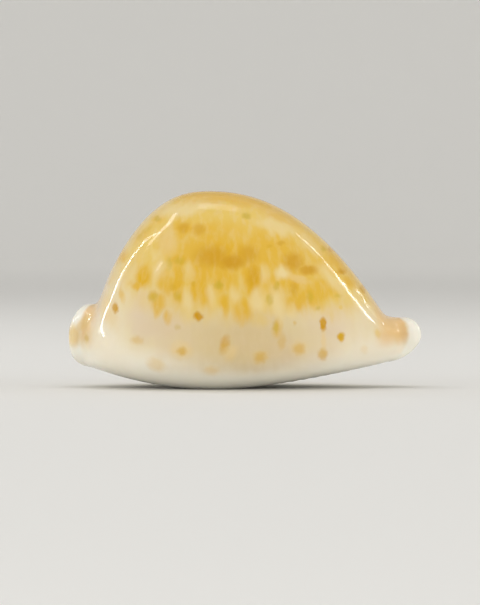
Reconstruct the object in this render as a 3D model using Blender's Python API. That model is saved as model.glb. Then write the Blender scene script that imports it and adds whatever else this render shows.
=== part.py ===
"""A humped cowrie shell with drawn-out, flanged ends, lying on its base.

The shell is one rolled sheet of porcelain-like wall. Its two long edges curl in
as the toothed lips of the aperture, and its two short edges are the rims of the
end flanges. The outer skin and the wall of the hollow are lofted through unlike
cross-sections, and a rounded edge joins them all the way round.

Frame: +X runs to the narrow front end, +Z up to the crest of the hump, and the
outer lip is on the -Y side. Every size below is in millimetres.
"""

import bmesh
import bpy
import numpy as np

MM = 0.001

# Overall size
LENGTH = 80.0
HEIGHT = 44.69
HALF_WIDTH = 24.98

# Hump, seen from the side: a blunt back slope and a long front slope
CREST_X = -8.4
BACK_RUN, BACK_POWER, BACK_FULLNESS = 29.84, 2.30, 1.35
FRONT_RUN, FRONT_POWER, FRONT_FULLNESS = 49.1, 2.21, 1.015
CREST_LEAN = 1.3

# Outline seen from above, around the widest station
WIDEST_X = -5.5
BACK_SPAN, BACK_SPAN_POWER, BACK_SPAN_FULLNESS = 32.0, 2.4, 2.0
FRONT_SPAN, FRONT_SPAN_POWER, FRONT_SPAN_FULLNESS = 44.5, 1.9, 1.4
SIDE_HEIGHT, SIDE_RISE_BACK, SIDE_RISE_FRONT = 11.2, 0.8, 1.1

# Roundness of a cross-section over its widest point and under it; 1 is an ellipse
DOME_POWER, BASE_POWER = 0.95, 0.76

# Belly of the base, and the flat spot that it rests on
BELLY_X = -6.8
BELLY_SINK = 0.45
BELLY_RISE_BACK, BELLY_POWER_BACK = 0.0101, 1.86
BELLY_RISE_FRONT, BELLY_POWER_FRONT = 0.0310, 1.45

# End flanges
BACK_COLLAR_TOP, BACK_COLLAR_DROP, BACK_COLLAR_X = 19.6, 0.09, -33.5
BACK_COLLAR_HALF_WIDTH = 8.6
FRONT_COLLAR_TOP = 16.0
FRONT_COLLAR_HALF_WIDTH = 6.8
COLLAR_BLEND = 1.2
COLLAR_SHIFT = 0.5
SHIFT_START = 24.0
RIDGE_TIP = 39.95
BACK_TIP_HEIGHT, FRONT_TIP_HEIGHT = 12.2, 12.2
BACK_SETBACK_TOP, BACK_SETBACK_BASE, BACK_SETBACK_POWER = 3.6, 3.2, 2.9
FRONT_SETBACK_TOP, FRONT_SETBACK_BASE, FRONT_SETBACK_POWER = 2.4, 5.8, 2.1
RIM_BULGE = 1.7
RIM_INSET = 1.2

# Creases where the flanges meet the body, at the crest and at the sides
BACK_CREASE_TOP, BACK_CREASE_SIDE, BACK_CREASE_BASE = -33.9, -36.7, -39.5
FRONT_CREASE_TOP, FRONT_CREASE_SIDE, FRONT_CREASE_BASE = 34.6, 35.4, 36.5
BACK_GROOVE_DEPTH, FRONT_GROOVE_DEPTH = 0.75, 0.9
GROOVE_WIDTH = 1.7
GROOVE_FADE_LOW, GROOVE_FADE_HIGH = -0.8, 0.0
FRONT_GROOVE_FADE, FRONT_GROOVE_FADE_START = 0.8, 0.5
FLANGE_LEAST = 1.3
FLANGE_ROWS = 3

# Aperture: a sinuous slit that bends towards the inner lip at the back
SLIT_ROUTE = ((-38.0, 2.0), (-30.0, 0.3), (-19.0, -1.9), (-5.0, -3.0),
              (12.0, -2.7), (26.0, -1.2), (38.0, 0.2))
SLIT_HALF_GAP_BACK, SLIT_HALF_GAP_FRONT = 1.45, 1.85
OUTER_LIP_ROLL, INNER_LIP_ROLL = 3.0, 2.5
LIP_DEPTH = 4.3
MOUTH_LIP_ROLL, MOUTH_LIP_DEPTH = 1.6, 2.6
MOUTH_BACK = (-37.0, -27.0)
MOUTH_FRONT = (28.0, 36.0)

# Teeth: ridges across both lips, left standing between shallow grooves
TOOTH_FIRST_X, TOOTH_LAST_X = -31.5, 32.5
TOOTH_GROOVE = 0.75

# Hollow: the wall is thin over the hump and thick on the inner-lip side
HOLLOW_X = -6.0
HOLLOW_BACK_RUN, HOLLOW_FRONT_RUN = 27.6, 39.8
HOLLOW_POWER, HOLLOW_FULLNESS = 2.6, 2.2
DORSUM_WALL = 2.3
HOLLOW_OUTER_REACH, HOLLOW_INNER_REACH = 0.80, 0.80
HOLLOW_SIDE_HEIGHT = 12.5
CHANNEL_HEIGHT = 4.2

# Mesh density
STATIONS = 60
AROUND = 32
EDGE_LOOPS = 5
EDGE_SMOOTHING = 3

# Pull of the edge's curves: a quarter circle over a lip, and a nose that bulges as asked at a rim
QUARTER_TURN_PULL = 1.57
RIM_PULL_OUTSIDE, RIM_PULL_INSIDE = 4.1, 3.9

SHELL_COLOUR = (0.86, 0.66, 0.36, 1.0)


def arc(run, x_from_peak, power, fullness):
    """Height of a rounded slope, from 1 at its peak to 0 at its run's end."""
    share = np.clip(np.abs(x_from_peak) / run, 0.0, 1.0)
    return (1.0 - share ** power) ** (1.0 / fullness)


def two_sided(x, peak, back, front):
    """An arc with one run, power and fullness behind its peak and another before it."""
    return np.where(x < peak,
                    arc(back[0], x - peak, back[1], back[2]),
                    arc(front[0], x - peak, front[1], front[2]))


def soft_max(a, b, blend):
    """The larger of two heights, with a small fillet where they cross."""
    return 0.5 * (a + b + np.sqrt((a - b) ** 2 + blend ** 2))


def smooth_step(value, low, high):
    """0 below low, 1 above high, and an S-curve between them."""
    share = np.clip((value - low) / (high - low), 0.0, 1.0)
    return share * share * (3.0 - 2.0 * share)


def natural_spline(points, x):
    """A smooth curve of y over x through a few chosen points."""
    px, py = np.array(points).T
    count = len(px)
    step = np.diff(px)
    system = np.eye(count)
    right = np.zeros(count)
    for i in range(1, count - 1):
        system[i, i - 1:i + 2] = step[i - 1], 2 * (step[i - 1] + step[i]), step[i]
        right[i] = 6 * ((py[i + 1] - py[i]) / step[i] - (py[i] - py[i - 1]) / step[i - 1])
    bend = np.linalg.solve(system, right)
    i = np.clip(np.searchsorted(px, x) - 1, 0, count - 2)
    ahead, behind = px[i + 1] - x, x - px[i]
    return ((bend[i] * ahead ** 3 + bend[i + 1] * behind ** 3) / (6 * step[i])
            + (py[i] / step[i] - bend[i] * step[i] / 6) * ahead
            + (py[i + 1] / step[i] - bend[i + 1] * step[i] / 6) * behind)


def section_angles():
    """Angles round a section: -90 degrees at the outer lip, 90 at the crest, 270 at the inner lip."""
    return np.radians(np.linspace(-90.0, 270.0, AROUND + 1))


def hump_height(x):
    """Crest of the hump alone, seen from the side."""
    return HEIGHT * two_sided(x, CREST_X, (BACK_RUN, BACK_POWER, BACK_FULLNESS),
                              (FRONT_RUN, FRONT_POWER, FRONT_FULLNESS))


def crest_height(x):
    """Top outline seen from the side, flanges included."""
    back_collar = BACK_COLLAR_TOP - BACK_COLLAR_DROP * (x - BACK_COLLAR_X) ** 2
    collar = np.where(x < CREST_X, back_collar, FRONT_COLLAR_TOP)
    return soft_max(hump_height(x), collar, COLLAR_BLEND)


def base_height(x):
    """Lowest line of the base, before the flat spot is cut."""
    away = np.abs(x - BELLY_X)
    back = BELLY_RISE_BACK * away ** BELLY_POWER_BACK
    front = BELLY_RISE_FRONT * away ** BELLY_POWER_FRONT
    return np.where(x < BELLY_X, back, front) - BELLY_SINK


def half_width(x):
    """Half of the outline seen from above, flanges included."""
    body = HALF_WIDTH * two_sided(
        x, WIDEST_X, (BACK_SPAN, BACK_SPAN_POWER, BACK_SPAN_FULLNESS),
        (FRONT_SPAN, FRONT_SPAN_POWER, FRONT_SPAN_FULLNESS))
    collar = np.where(x < WIDEST_X, BACK_COLLAR_HALF_WIDTH, FRONT_COLLAR_HALF_WIDTH)
    return soft_max(body, collar, COLLAR_BLEND)


def side_height(x):
    """Height of the widest point of a cross-section."""
    rise = np.where(x < 0, SIDE_RISE_BACK, SIDE_RISE_FRONT)
    return SIDE_HEIGHT + rise * (2 * x / LENGTH) ** 2


def slit_gap(x):
    """Half of the aperture's gap between tooth tips."""
    share = smooth_step(x, -LENGTH / 2, LENGTH / 2)
    return SLIT_HALF_GAP_BACK + (SLIT_HALF_GAP_FRONT - SLIT_HALF_GAP_BACK) * share


def mouth_share(x):
    """1 along the middle of the aperture, falling to 0 in the end channels."""
    return smooth_step(x, *MOUTH_BACK) * (1.0 - smooth_step(x, *MOUTH_FRONT))


def lip_roll(x, outer):
    """Radius of a lip's rounded edge."""
    full = np.where(outer, OUTER_LIP_ROLL, INNER_LIP_ROLL)
    return MOUTH_LIP_ROLL + (full - MOUTH_LIP_ROLL) * mouth_share(x)


def lip_depth(x):
    """Thickness of the lips where they turn into the hollow."""
    return MOUTH_LIP_DEPTH + (LIP_DEPTH - MOUTH_LIP_DEPTH) * mouth_share(x)


def centre_line(x):
    """Sideways shift of the flanges, which follow the aperture part of the way."""
    ends = smooth_step(np.abs(x), SHIFT_START, LENGTH / 2)
    return COLLAR_SHIFT * natural_spline(SLIT_ROUTE, x) * ends


def lift_of(angle):
    """How high a point lies in its section, from -1 at the base to 1 at the crest."""
    lift = np.sin(angle)
    return np.sign(lift) * np.abs(lift) ** np.where(lift > 0, DOME_POWER, BASE_POWER)


def outer_section(x, angle):
    """A point of the outer skin at a station and an angle."""
    side = side_height(x)
    lift = lift_of(angle)
    reach = np.where(lift > 0, crest_height(x) - side, side - base_height(x))
    z = side + reach * lift
    outer = np.cos(angle) > 0
    hand = np.where(outer, -1.0, 1.0)
    centre = centre_line(x)
    lip_start = natural_spline(SLIT_ROUTE, x) + hand * (slit_gap(x) + lip_roll(x, outer))
    middle = centre + (lip_start - centre) * smooth_step(-np.sin(angle), 0.0, 1.0)
    share = np.abs(np.cos(angle))
    y = middle + (centre + hand * half_width(x) - middle) * share
    hump = hump_height(x) / HEIGHT
    return y + CREST_LEAN * hump * np.clip(np.sin(angle), 0, 1) ** 2, z


def along_section(angle, base, side, top):
    """A value that runs smoothly from the base of a section over its side to its top."""
    lift = np.sin(angle)
    return np.where(lift > 0, side + (top - side) * smooth_step(lift, 0, 1),
                    side + (base - side) * smooth_step(-lift, 0, 1))


def rim_ridge(angle, tip, tip_height, setback_top, setback_base, power):
    """Outermost line of a flange: furthest out at its sides, set back at its top and base."""
    x = np.full_like(angle, tip)
    z = outer_section(x, angle)[1]
    rise = np.clip((z - tip_height) / (crest_height(x) - tip_height), 0, 1)
    fall = np.clip((tip_height - z) / (tip_height - base_height(x)), 0, 1)
    back_off = (setback_top * (1 - (1 - rise ** power) ** (1 / power))
                + setback_base * (1 - (1 - fall ** power) ** (1 / power)))
    return tip - np.sign(tip) * back_off


def back_ridge(angle):
    """Outermost line of the back flange."""
    return rim_ridge(angle, -RIDGE_TIP, BACK_TIP_HEIGHT,
                     BACK_SETBACK_TOP, BACK_SETBACK_BASE, BACK_SETBACK_POWER)


def front_ridge(angle):
    """Outermost line of the front flange."""
    return rim_ridge(angle, RIDGE_TIP, FRONT_TIP_HEIGHT,
                     FRONT_SETBACK_TOP, FRONT_SETBACK_BASE, FRONT_SETBACK_POWER)


def back_crease(angle):
    """Line of the waist behind the back flange, which slants towards the tip as it falls."""
    return along_section(angle, BACK_CREASE_BASE, BACK_CREASE_SIDE, BACK_CREASE_TOP)


def front_crease(angle):
    """Line of the waist behind the front flange."""
    return along_section(angle, FRONT_CREASE_BASE, FRONT_CREASE_SIDE, FRONT_CREASE_TOP)


def neck_groove(x, angle):
    """How far the waist behind each flange is drawn in."""
    lift = np.sin(angle)
    back = BACK_GROOVE_DEPTH * np.exp(-((x - back_crease(angle)) / GROOVE_WIDTH) ** 2)
    front = FRONT_GROOVE_DEPTH * np.exp(-((x - front_crease(angle)) / GROOVE_WIDTH) ** 2)
    front_fade = 1.0 - FRONT_GROOVE_FADE * smooth_step(lift, FRONT_GROOVE_FADE_START, 1.0)
    return (back + front * front_fade) * smooth_step(lift, GROOVE_FADE_LOW, GROOVE_FADE_HIGH)


def outer_skin():
    """Grid of outer points, one row for each station."""
    angle = section_angles()
    start, end = back_ridge(angle) + RIM_BULGE, front_ridge(angle) - RIM_BULGE
    lines = np.stack([start, np.maximum(back_crease(angle), start + FLANGE_LEAST),
                      np.minimum(front_crease(angle), end - FLANGE_LEAST), end])
    rows = [0, FLANGE_ROWS, STATIONS - FLANGE_ROWS, STATIONS]
    row = np.arange(STATIONS + 1)
    x = np.stack([np.interp(row, rows, line) for line in lines.T], axis=-1)
    angle = np.broadcast_to(angle, x.shape)
    y, z = outer_section(x, angle)
    inward = neck_groove(x, angle)
    y = y - inward * np.where(np.cos(angle) > 0, -1.0, 1.0) * np.abs(np.cos(angle))
    z = z - inward * np.sin(angle)
    return np.stack([x, y, np.maximum(z, 0.0)], axis=-1)


def hollow_wall():
    """Grid of points on the wall of the hollow and of the channels at its ends."""
    angle = section_angles()
    inset = RIM_BULGE + RIM_INSET
    share = np.linspace(0.0, 1.0, STATIONS + 1)[:, None]
    start, end = back_ridge(angle) + inset, front_ridge(angle) - inset
    x = start + (end - start) * share
    angle = np.broadcast_to(angle, x.shape)
    room = two_sided(x, HOLLOW_X, (HOLLOW_BACK_RUN, HOLLOW_POWER, HOLLOW_FULLNESS),
                     (HOLLOW_FRONT_RUN, HOLLOW_POWER, HOLLOW_FULLNESS))
    slit = natural_spline(SLIT_ROUTE, x)
    gap = slit_gap(x)
    floor = base_height(x) + lip_depth(x)
    channel_top = floor + CHANNEL_HEIGHT
    channel_side = floor + CHANNEL_HEIGHT / 2
    top = channel_top + (hump_height(x) - DORSUM_WALL - channel_top) * room
    side = channel_side + (HOLLOW_SIDE_HEIGHT - channel_side) * room
    outer = np.cos(angle) > 0
    hand = np.where(outer, -1.0, 1.0)
    full_reach = half_width(x) * np.where(outer, HOLLOW_OUTER_REACH, HOLLOW_INNER_REACH)
    reach = gap + (full_reach - gap) * room
    lift = np.sin(angle)
    z = side + np.where(lift > 0, top - side, side - floor) * lift
    share = np.abs(np.cos(angle))
    middle = slit + (CREST_LEAN - slit) * smooth_step(lift, 0.0, 1.0) * room
    y = middle + hand * np.where(lift < 0, gap + (reach - gap) * share, reach * share)
    return np.stack([x, y, z], axis=-1)


def ring_of(sides):
    """Joins values given along outer lip, front rim, inner lip and back rim into one ring."""
    outer_lip, front_rim, inner_lip, back_rim = sides
    return np.concatenate([outer_lip[:-1], front_rim[:-1], inner_lip[::-1][:-1], back_rim[::-1][:-1]])


def edge_points(grid):
    """The points round a grid's edge."""
    return ring_of([grid[:, 0], grid[-1], grid[:, -1], grid[0]])


def settle(ring):
    """Evens out values round a ring, so that its corners turn gently."""
    for _ in range(EDGE_SMOOTHING):
        ring = (np.roll(ring, 1, 0) + 2 * ring + np.roll(ring, -1, 0)) / 4
    return ring


def edge_tangents(outer, inner):
    """How the rounded edge leaves the outer skin and how it reaches the wall of the hollow."""
    leave = []
    arrive = []
    for column, hand in ((0, 1.0), (-1, -1.0)):
        roll = np.abs(inner[:, column, 1] - outer[:, column, 1])[:, None]
        depth = np.abs(inner[:, column, 2] - outer[:, column, 2])[:, None]
        leave.append(QUARTER_TURN_PULL * roll * np.array([0.0, hand, 0.0]))
        arrive.append(QUARTER_TURN_PULL * depth * np.array([0.0, 0.0, 1.0]))
    rim = RIM_BULGE + RIM_INSET / 2
    for row, way in ((-1, 1.0), (0, -1.0)):
        along = np.ones((AROUND + 1, 1)) * rim * np.array([way, 0.0, 0.0])
        leave.append(along * RIM_PULL_OUTSIDE)
        arrive.append(along * -RIM_PULL_INSIDE)
    order = (0, 2, 1, 3)
    rings = []
    for kind in (leave, arrive):
        sides = [kind[i] for i in order]
        ring = ring_of(sides)
        corners = np.cumsum([0, STATIONS, AROUND, STATIONS])
        meeting = (sides[3][0], sides[0][-1], sides[1][-1], sides[2][0])
        for corner, other in zip(corners, meeting):
            ring[corner] = ring[corner] + other
        rings.append(settle(ring))
    return rings


def tooth_depth(x):
    """Depth of the groove at each point of a lip: every second one along the toothed stretch."""
    toothed = (x > TOOTH_FIRST_X) & (x < TOOTH_LAST_X) & (np.arange(len(x)) % 2 == 1)
    return np.where(toothed, TOOTH_GROOVE, 0.0)


def rounded_edge(outer, inner):
    """Loops of points between the outer skin's edge and the hollow's edge."""
    start, finish = edge_points(outer), edge_points(inner)
    leave, arrive = edge_tangents(outer, inner)
    still = np.zeros(AROUND + 1)
    groove = ring_of([tooth_depth(outer[:, 0, 0]), still, tooth_depth(outer[:, -1, 0]), still])
    towards_slit = ring_of([np.ones(STATIONS + 1), still, -np.ones(STATIONS + 1), still])
    loops = []
    for k in range(1, EDGE_LOOPS + 1):
        t = k / (EDGE_LOOPS + 1)
        point = ((2 * t ** 3 - 3 * t ** 2 + 1) * start + (t ** 3 - 2 * t ** 2 + t) * leave
                 + (3 * t ** 2 - 2 * t ** 3) * finish + (t ** 3 - t ** 2) * arrive)
        turn = t * np.pi / 2
        point[:, 1] -= groove * towards_slit * np.sin(turn)
        point[:, 2] += groove * np.cos(turn)
        point[:, 2] = np.maximum(point[:, 2], 0.0)
        loops.append(point)
    return loops


def grid_faces(rows, columns, first, flip):
    """Quads of a grid of vertices that are numbered row by row."""
    faces = []
    for i in range(rows - 1):
        for j in range(columns - 1):
            a = first + i * columns + j
            quad = (a, a + 1, a + columns + 1, a + columns)
            faces.append(quad[::-1] if flip else quad)
    return faces


def shell_mesh():
    """The whole shell as one closed mesh, in metres."""
    outer, inner = outer_skin(), hollow_wall()
    rows, columns = outer.shape[:2]
    count = rows * columns
    loops = rounded_edge(outer, inner)
    points = np.concatenate([outer.reshape(-1, 3), inner.reshape(-1, 3), *loops])
    faces = grid_faces(rows, columns, 0, True) + grid_faces(rows, columns, count, False)
    ring = len(loops[0])
    number = np.arange(count).reshape(rows, columns)
    bands = [edge_points(number)]
    bands += [2 * count + k * ring + np.arange(ring) for k in range(EDGE_LOOPS)]
    bands.append(edge_points(number + count))
    for near, far in zip(bands, bands[1:]):
        for i in range(ring):
            j = (i + 1) % ring
            faces.append((near[i], near[j], far[j], far[i]))
    mesh = bpy.data.meshes.new("cowrie_shell")
    mesh.from_pydata((points * MM).tolist(), [], [tuple(int(v) for v in f) for f in faces])
    tidy = bmesh.new()
    tidy.from_mesh(mesh)
    bmesh.ops.recalc_face_normals(tidy, faces=tidy.faces)
    tidy.to_mesh(mesh)
    tidy.free()
    mesh.shade_smooth()
    return mesh


def porcelain():
    """Glossy cream and ochre porcelain."""
    material = bpy.data.materials.new("shell_porcelain")
    material.use_nodes = True
    surface = material.node_tree.nodes["Principled BSDF"]
    surface.inputs["Base Color"].default_value = SHELL_COLOUR
    surface.inputs["Roughness"].default_value = 0.18
    surface.inputs["Metallic"].default_value = 0.0
    return material


def main():
    """Clears the file and adds the shell."""
    for old in list(bpy.data.objects):
        bpy.data.objects.remove(old)
    shell = bpy.data.objects.new("cowrie_shell", shell_mesh())
    shell.data.materials.append(porcelain())
    collection = bpy.data.collections.new("cowrie shell")
    bpy.context.scene.collection.children.link(collection)
    collection.objects.link(shell)


main()
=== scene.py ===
"""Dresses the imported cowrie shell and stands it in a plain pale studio.

The shell is one piece: the form of its solid, sampled finely, with the teeth of
both lips carved by a Geometry Nodes tree and a procedural porcelain finish.
Sizes of the form are in millimetres; the finished mesh is in metres.
"""

import logging
import math
from dataclasses import dataclass, field
from enum import Enum

import bpy
import numpy as np
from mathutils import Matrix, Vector


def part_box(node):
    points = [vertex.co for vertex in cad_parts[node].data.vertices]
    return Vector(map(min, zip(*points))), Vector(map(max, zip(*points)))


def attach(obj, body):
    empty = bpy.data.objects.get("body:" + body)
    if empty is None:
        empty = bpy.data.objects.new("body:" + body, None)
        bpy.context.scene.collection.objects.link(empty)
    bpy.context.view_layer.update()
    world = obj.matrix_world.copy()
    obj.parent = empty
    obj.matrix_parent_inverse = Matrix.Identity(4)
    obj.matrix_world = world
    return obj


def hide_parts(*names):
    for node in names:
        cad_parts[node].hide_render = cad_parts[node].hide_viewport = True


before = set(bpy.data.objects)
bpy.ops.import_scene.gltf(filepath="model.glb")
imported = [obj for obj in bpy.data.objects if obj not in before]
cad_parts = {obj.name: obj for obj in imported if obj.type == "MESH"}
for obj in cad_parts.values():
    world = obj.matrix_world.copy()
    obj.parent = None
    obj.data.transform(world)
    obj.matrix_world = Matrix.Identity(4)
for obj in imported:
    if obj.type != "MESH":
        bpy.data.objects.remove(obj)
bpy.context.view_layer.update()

LOG = logging.getLogger("cowrie_shell")
MM = 0.001

Colour = tuple[float, float, float]
Span = tuple[float, float]
Lines = tuple[Span, ...]


def soft_max(a: np.ndarray, b: np.ndarray, blend: float) -> np.ndarray:
    """The larger of two heights, with a small fillet where they cross."""
    return 0.5 * (a + b + np.sqrt((a - b) ** 2 + blend ** 2))


def smooth_step(value: np.ndarray, low: float, high: float) -> np.ndarray:
    """0 below low, 1 above high, and an S-curve between them."""
    share = np.clip((value - low) / (high - low), 0.0, 1.0)
    return share * share * (3.0 - 2.0 * share)


def plateau(value: np.ndarray, rise: Span, fall: Span) -> np.ndarray:
    """0 before the rise, 1 between rise and fall, and 0 after the fall."""
    return smooth_step(value, *rise) * (1.0 - smooth_step(value, *fall))


def distance_along(grid: np.ndarray) -> np.ndarray:
    """Distance over the points of each row of a grid, from its first point."""
    step = np.linalg.norm(np.diff(grid, axis=1), axis=-1)
    return np.concatenate([np.zeros((len(grid), 1)), np.cumsum(step, axis=1)], axis=1)


def placed(name: str, data: bpy.types.ID) -> bpy.types.Object:
    """A new object with the given data, linked to the scene."""
    thing = bpy.data.objects.new(name, data)
    bpy.context.scene.collection.objects.link(thing)
    return thing


def natural_spline(points: Lines, x: np.ndarray) -> np.ndarray:
    """A smooth curve through a few chosen points.

    Args:
        points: Pairs of a place along the shell and the value there.
        x: Places along the shell.

    Returns:
        The curve's value at each place.
    """
    px, py = np.array(points).T
    count = len(px)
    step = np.diff(px)
    system = np.eye(count)
    right = np.zeros(count)
    for i in range(1, count - 1):
        system[i, i - 1:i + 2] = step[i - 1], 2 * (step[i - 1] + step[i]), step[i]
        right[i] = 6 * ((py[i + 1] - py[i]) / step[i] - (py[i] - py[i - 1]) / step[i - 1])
    bend = np.linalg.solve(system, right)
    i = np.clip(np.searchsorted(px, x) - 1, 0, count - 2)
    ahead, behind = px[i + 1] - x, x - px[i]
    return ((bend[i] * ahead ** 3 + bend[i + 1] * behind ** 3) / (6 * step[i])
            + (py[i] / step[i] - bend[i] * step[i] / 6) * ahead
            + (py[i + 1] / step[i] - bend[i + 1] * step[i] / 6) * behind)


@dataclass(frozen=True)
class Slope:
    """One rounded slope of an outline: its run, how square it is and how full."""

    run: float
    power: float
    fullness: float

    def fall(self, away: np.ndarray) -> np.ndarray:
        """Share of the full height, from 1 at the peak to 0 at the run's end."""
        share = np.clip(np.abs(away) / self.run, 0.0, 1.0)
        return (1.0 - share ** self.power) ** (1.0 / self.fullness)


@dataclass(frozen=True)
class Arch:
    """A peak with one slope behind it and another before it."""

    peak: float
    back: Slope
    front: Slope

    def at(self, x: np.ndarray) -> np.ndarray:
        """Share of the full height at each place along the shell."""
        return np.where(x < self.peak, self.back.fall(x - self.peak), self.front.fall(x - self.peak))


@dataclass(frozen=True)
class Flange:
    """A drawn-out end of the shell and the waist behind it."""

    way: float
    collar_top: float
    collar_half_width: float
    setback_top: float
    setback_base: float
    setback_power: float
    crease_base: float
    crease_side: float
    crease_top: float
    groove_depth: float
    collar_drop: float = 0.0
    collar_x: float = 0.0
    groove_top_fade: float = 0.0

    def collar(self, x: np.ndarray) -> np.ndarray:
        """Height of the flange's upper edge."""
        return self.collar_top - self.collar_drop * (x - self.collar_x) ** 2

    def crease(self, lift: np.ndarray) -> np.ndarray:
        """Line of the waist, from the base of a section over its side to its top."""
        low = self.crease_side + (self.crease_base - self.crease_side) * smooth_step(-lift, 0, 1)
        high = self.crease_side + (self.crease_top - self.crease_side) * smooth_step(lift, 0, 1)
        return np.where(lift > 0, high, low)


BACK_FLANGE = Flange(
    way=-1.0, collar_top=19.6, collar_half_width=8.6,
    setback_top=3.6, setback_base=3.2, setback_power=2.9,
    crease_base=-39.5, crease_side=-36.7, crease_top=-33.9,
    groove_depth=0.75, collar_drop=0.09, collar_x=-33.5)
FRONT_FLANGE = Flange(
    way=1.0, collar_top=16.0, collar_half_width=6.8,
    setback_top=2.4, setback_base=5.8, setback_power=2.1,
    crease_base=36.5, crease_side=35.4, crease_top=34.6,
    groove_depth=0.9, groove_top_fade=0.8)


@dataclass(frozen=True)
class Aperture:
    """The slit along the base and the two rolled lips beside it."""

    route: Lines = ((-38.0, 2.0), (-30.0, 0.3), (-19.0, -1.9), (-5.0, -3.0),
                    (12.0, -2.7), (26.0, -1.2), (38.0, 0.2))
    half_gap_back: float = 1.45
    half_gap_front: float = 1.85
    outer_roll: float = 3.0
    inner_roll: float = 2.5
    depth: float = 4.3
    end_roll: float = 1.6
    end_depth: float = 2.6
    opens_from: Span = (-37.0, -27.0)
    opens_to: Span = (28.0, 36.0)
    half_length: float = 40.0

    def middle(self, x: np.ndarray) -> np.ndarray:
        """Middle of the slit."""
        return natural_spline(self.route, x)

    def half_gap(self, x: np.ndarray) -> np.ndarray:
        """Half of the gap between the tips of the teeth."""
        share = smooth_step(x, -self.half_length, self.half_length)
        return self.half_gap_back + (self.half_gap_front - self.half_gap_back) * share

    def openness(self, x: np.ndarray) -> np.ndarray:
        """1 along the middle of the slit, falling to 0 in the end channels."""
        return plateau(x, self.opens_from, self.opens_to)

    def roll(self, x: np.ndarray, outer: np.ndarray) -> np.ndarray:
        """Radius of a lip's rounded edge."""
        full = np.where(outer, self.outer_roll, self.inner_roll)
        return self.end_roll + (full - self.end_roll) * self.openness(x)

    def lip_depth(self, x: np.ndarray) -> np.ndarray:
        """Thickness of the lips where they turn into the hollow."""
        return self.end_depth + (self.depth - self.end_depth) * self.openness(x)


@dataclass(frozen=True)
class Belly:
    """The low line of the base, which sinks a little below the flat spot."""

    lowest_x: float = -6.8
    sink: float = 0.45
    back: Span = (0.0101, 1.86)
    front: Span = (0.0310, 1.45)

    def height(self, x: np.ndarray) -> np.ndarray:
        """Height of the base, before the flat spot is cut."""
        away = np.abs(x - self.lowest_x)
        back, front = (rise * away ** power for rise, power in (self.back, self.front))
        return np.where(x < self.lowest_x, back, front) - self.sink


@dataclass(frozen=True)
class Hollow:
    """The room inside the shell and the low channels at its ends."""

    arch: Arch = Arch(-6.0, Slope(27.6, 2.6, 2.2), Slope(39.8, 2.6, 2.2))
    dorsum_wall: float = 2.3
    reach: float = 0.80
    side_height: float = 12.5
    channel_height: float = 4.2


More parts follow.
